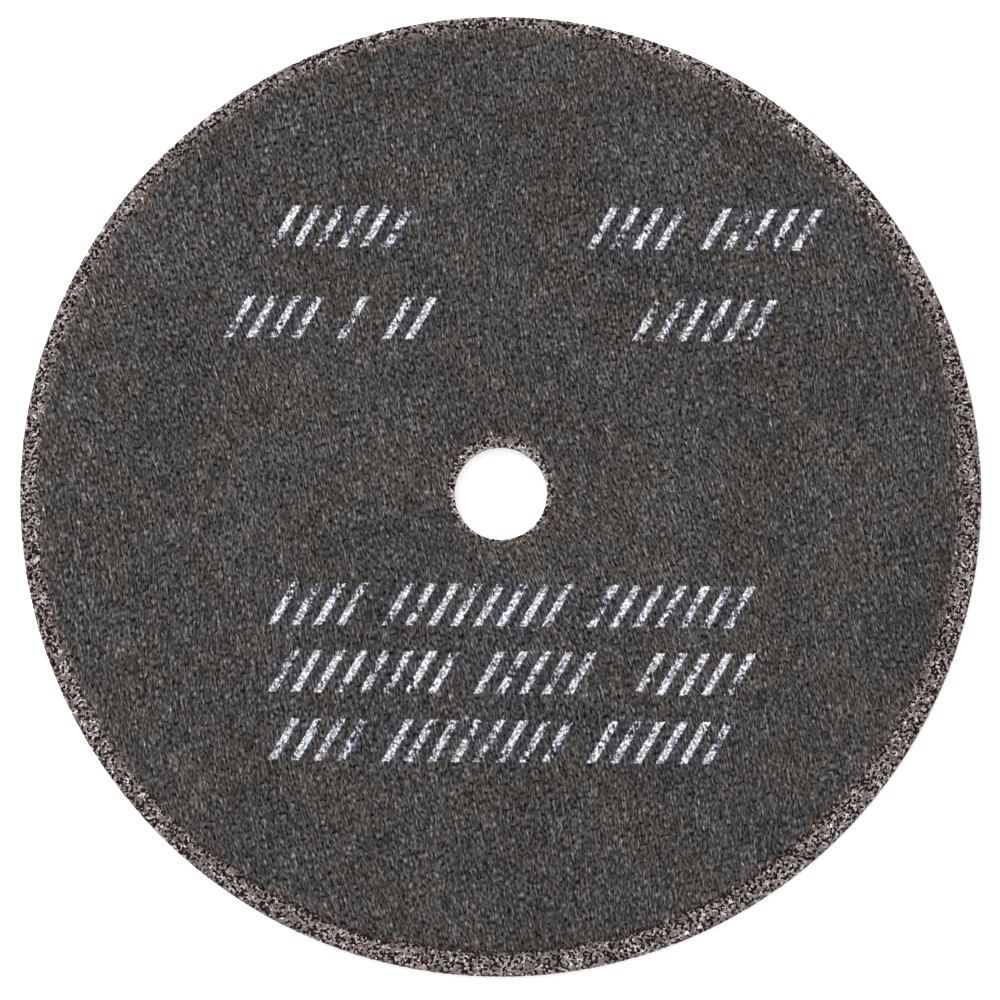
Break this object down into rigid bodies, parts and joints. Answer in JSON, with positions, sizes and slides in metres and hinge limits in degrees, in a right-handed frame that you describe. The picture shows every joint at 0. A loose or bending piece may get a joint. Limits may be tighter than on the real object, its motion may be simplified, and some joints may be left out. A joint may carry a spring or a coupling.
{
  "type": "cut-off wheel",
  "caption": "Thin flat resin-bonded abrasive cut-off wheel with a plain centre bore, dark fibre facings and bands of bare grit at the rim and the bore.",
  "frame": {"origin": "on the wheel's axis, at the level of the back facing that it lies on", "axes": "+Z along the wheel's axis, out of the printed front facing; +Y is the top of the print"},
  "size_m": [0.1016, 0.1016, 0.0016],
  "materials": {
    "bonded_abrasive": "matte"
  },
  "bodies": {
    "root": {"cutoff_wheel": "bonded_abrasive"}
  },
  "joints": []
}
